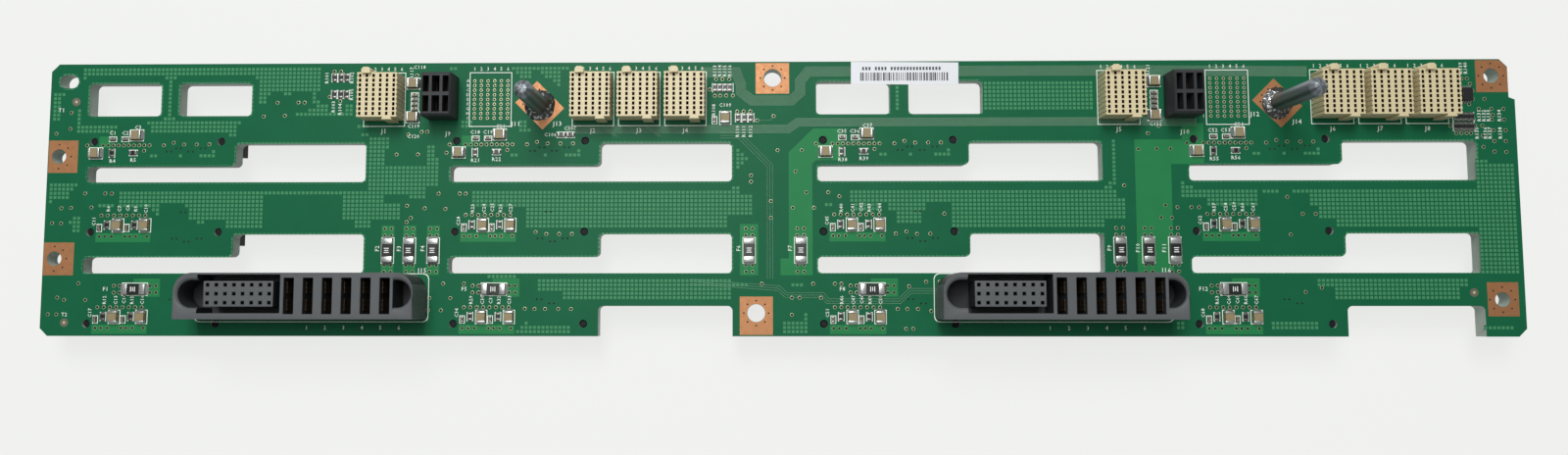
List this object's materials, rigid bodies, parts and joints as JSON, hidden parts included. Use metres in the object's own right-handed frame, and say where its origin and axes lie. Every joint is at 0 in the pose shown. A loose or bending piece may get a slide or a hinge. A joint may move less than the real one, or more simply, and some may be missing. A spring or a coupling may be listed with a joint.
{
  "type": "drive backplane board",
  "caption": "Long circuit board with air openings, moulded signal and power receptacles, deep supply connectors, steel guide pins and drive connectors on the far side.",
  "frame": {"origin": "centre of the bounding box in plan, at the mating faces of the drive connectors on the far side", "axes": "+Z towards the component side, +X along the length, +Y towards the edge with the signal receptacles"},
  "size_m": [0.437, 0.0818, 0.036],
  "materials": {
    "solder_mask": "glass-fibre laminate under a satin green solder mask",
    "beige_housing": "satin moulded beige plastic",
    "dark_housing": "satin moulded dark grey plastic",
    "black_housing": "satin moulded black plastic",
    "gold_contact": "gold-plated copper alloy",
    "pin_steel": "turned steel",
    "solder": "bright solder",
    "fuse_body": "dark ceramic chip fuse with tinned ends",
    "capacitor_body": "matt tan ceramic with tinned ends",
    "resistor_body": "black resistor film on ceramic",
    "chip_package": "matt black moulding",
    "label_paper": "white label"
  },
  "bodies": {
    "root": {"chip_fuses": "fuse_body", "chip_resistors": "resistor_body", "circuit_board": "solder_mask", "drive_connector_1": "black_housing", "drive_connector_10": "black_housing", "drive_connector_11": "black_housing", "drive_connector_12": "black_housing", "drive_connector_2": "black_housing", "drive_connector_3": "black_housing", "drive_connector_4": "black_housing", "drive_connector_5": "black_housing", "drive_connector_6": "black_housing", "drive_connector_7": "black_housing", "drive_connector_8": "black_housing", "drive_connector_9": "black_housing", "driver_chip": "chip_package", "guide_pin_1": "pin_steel", "guide_pin_2": "pin_steel", "id_label": "label_paper", "large_capacitors": "capacitor_body", "pin_solder_1": "solder", "pin_solder_2": "solder", "power_receptacle_1": "dark_housing", "power_receptacle_2": "dark_housing", "signal_receptacle_1": "beige_housing", "signal_receptacle_2": "beige_housing", "signal_receptacle_3": "beige_housing", "signal_receptacle_4": "beige_housing", "signal_receptacle_5": "beige_housing", "signal_receptacle_6": "beige_housing", "signal_receptacle_7": "beige_housing", "signal_receptacle_8": "beige_housing", "small_capacitors": "capacitor_body", "supply_connector_1": "black_housing", "supply_connector_2": "black_housing", "supply_contacts_1": "gold_contact", "supply_contacts_2": "gold_contact"}
  },
  "joints": []
}
